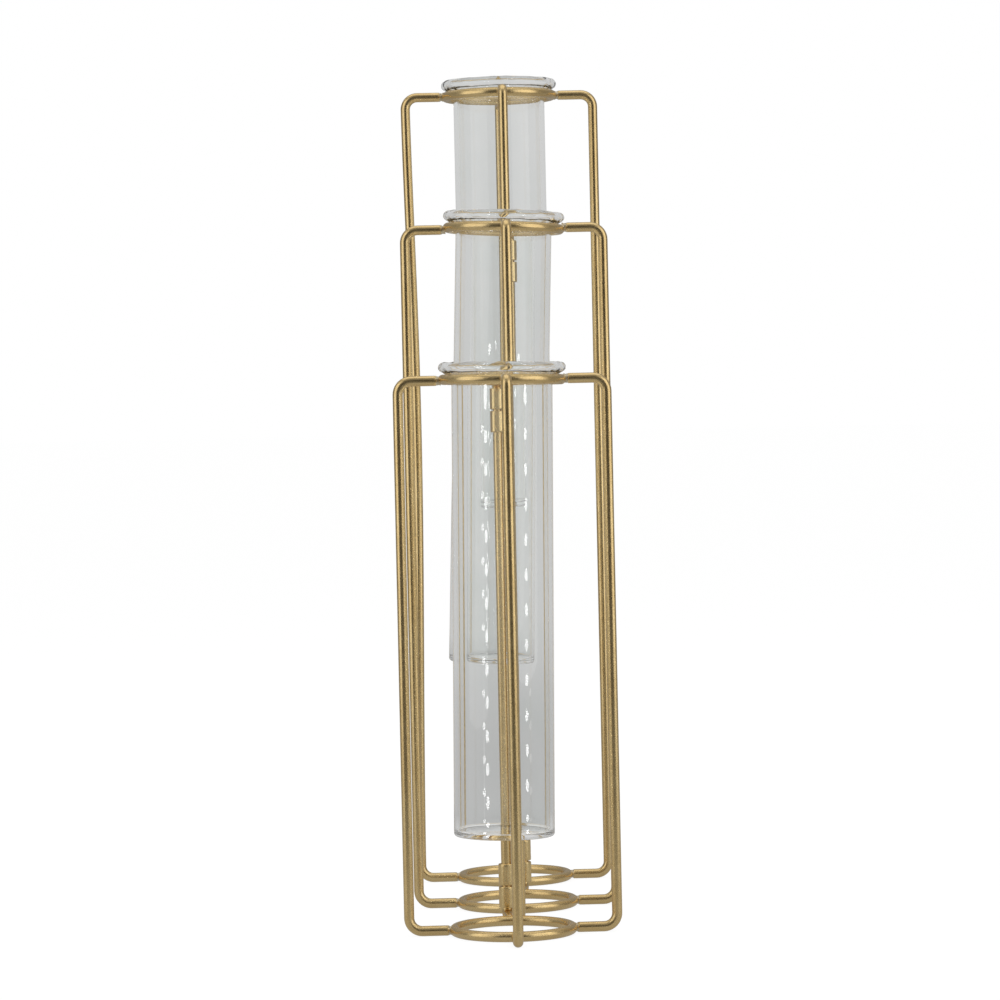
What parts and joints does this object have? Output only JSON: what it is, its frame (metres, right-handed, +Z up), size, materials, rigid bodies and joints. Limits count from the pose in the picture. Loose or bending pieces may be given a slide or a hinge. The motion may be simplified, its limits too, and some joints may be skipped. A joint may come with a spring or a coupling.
{
  "type": "beaker vase",
  "caption": "Folding vase of rimmed glass tubes that hang in hinged wire frames, each taller than the one in front, with an antique gold finish.",
  "frame": {"origin": "on the floor, under the middle of the box round the whole vase as it stands in the picture", "axes": "+Z up; +Y from the short frame to the tall frame, away from the camera; +X to the right in the picture"},
  "size_m": [0.087, 0.253, 0.348],
  "materials": {
    "wire": "antique gold lacquer on steel wire, satin and lightly brushed",
    "weld": "gold lacquer over rough weld beads",
    "glass": "clear blown glass"
  },
  "bodies": {
    "short_frame": {"short_top_ring": "wire", "short_bottom_ring": "wire", "short_front_upright": "wire", "short_back_upright": "wire", "short_left_upright": "wire", "short_right_upright": "wire", "short_welds": "weld", "front_hinge_top_fixed_sleeve": "wire", "front_hinge_bottom_fixed_sleeve": "wire"},
    "middle_frame": {"middle_top_ring": "wire", "middle_bottom_ring": "wire", "middle_front_upright": "wire", "middle_back_upright": "wire", "middle_left_upright": "wire", "middle_right_upright": "wire", "middle_welds": "weld", "front_hinge_top_turning_sleeve": "wire", "front_hinge_bottom_turning_sleeve": "wire", "front_hinge_welds": "weld", "rear_hinge_top_fixed_sleeve": "wire", "rear_hinge_bottom_fixed_sleeve": "wire"},
    "tall_frame": {"tall_top_ring": "wire", "tall_bottom_ring": "wire", "tall_front_upright": "wire", "tall_back_upright": "wire", "tall_left_upright": "wire", "tall_right_upright": "wire", "tall_welds": "weld", "rear_hinge_top_turning_sleeve": "wire", "rear_hinge_bottom_turning_sleeve": "wire", "rear_hinge_welds": "weld"},
    "short_glass": {"short_tube": "glass"},
    "middle_glass": {"middle_tube": "glass"},
    "tall_glass": {"tall_tube": "glass"}
  },
  "joints": [
    {"name": "front_hinge", "type": "hinge", "parent": "short_frame", "child": "middle_frame", "pos_m": [-0.00345, -0.04322, 0], "axis": [0, 0, 1], "range_deg": [-34, 88]},
    {"name": "rear_hinge", "type": "hinge", "parent": "middle_frame", "child": "tall_frame", "pos_m": [0.00363, 0.03807, 0], "axis": [0, 0, 1], "range_deg": [-97, 84]},
    {"name": "short_tube_lift", "type": "slide", "parent": "short_frame", "child": "short_glass", "axis": [0.0157, 0, 0.9999], "range_m": [0, 0.19]},
    {"name": "middle_tube_lift", "type": "slide", "parent": "middle_frame", "child": "middle_glass", "axis": [0.0366, 0, 0.9993], "range_m": [0, 0.19]},
    {"name": "tall_tube_lift", "type": "slide", "parent": "tall_frame", "child": "tall_glass", "axis": [0, 0, 1], "range_m": [0, 0.19]}
  ]
}
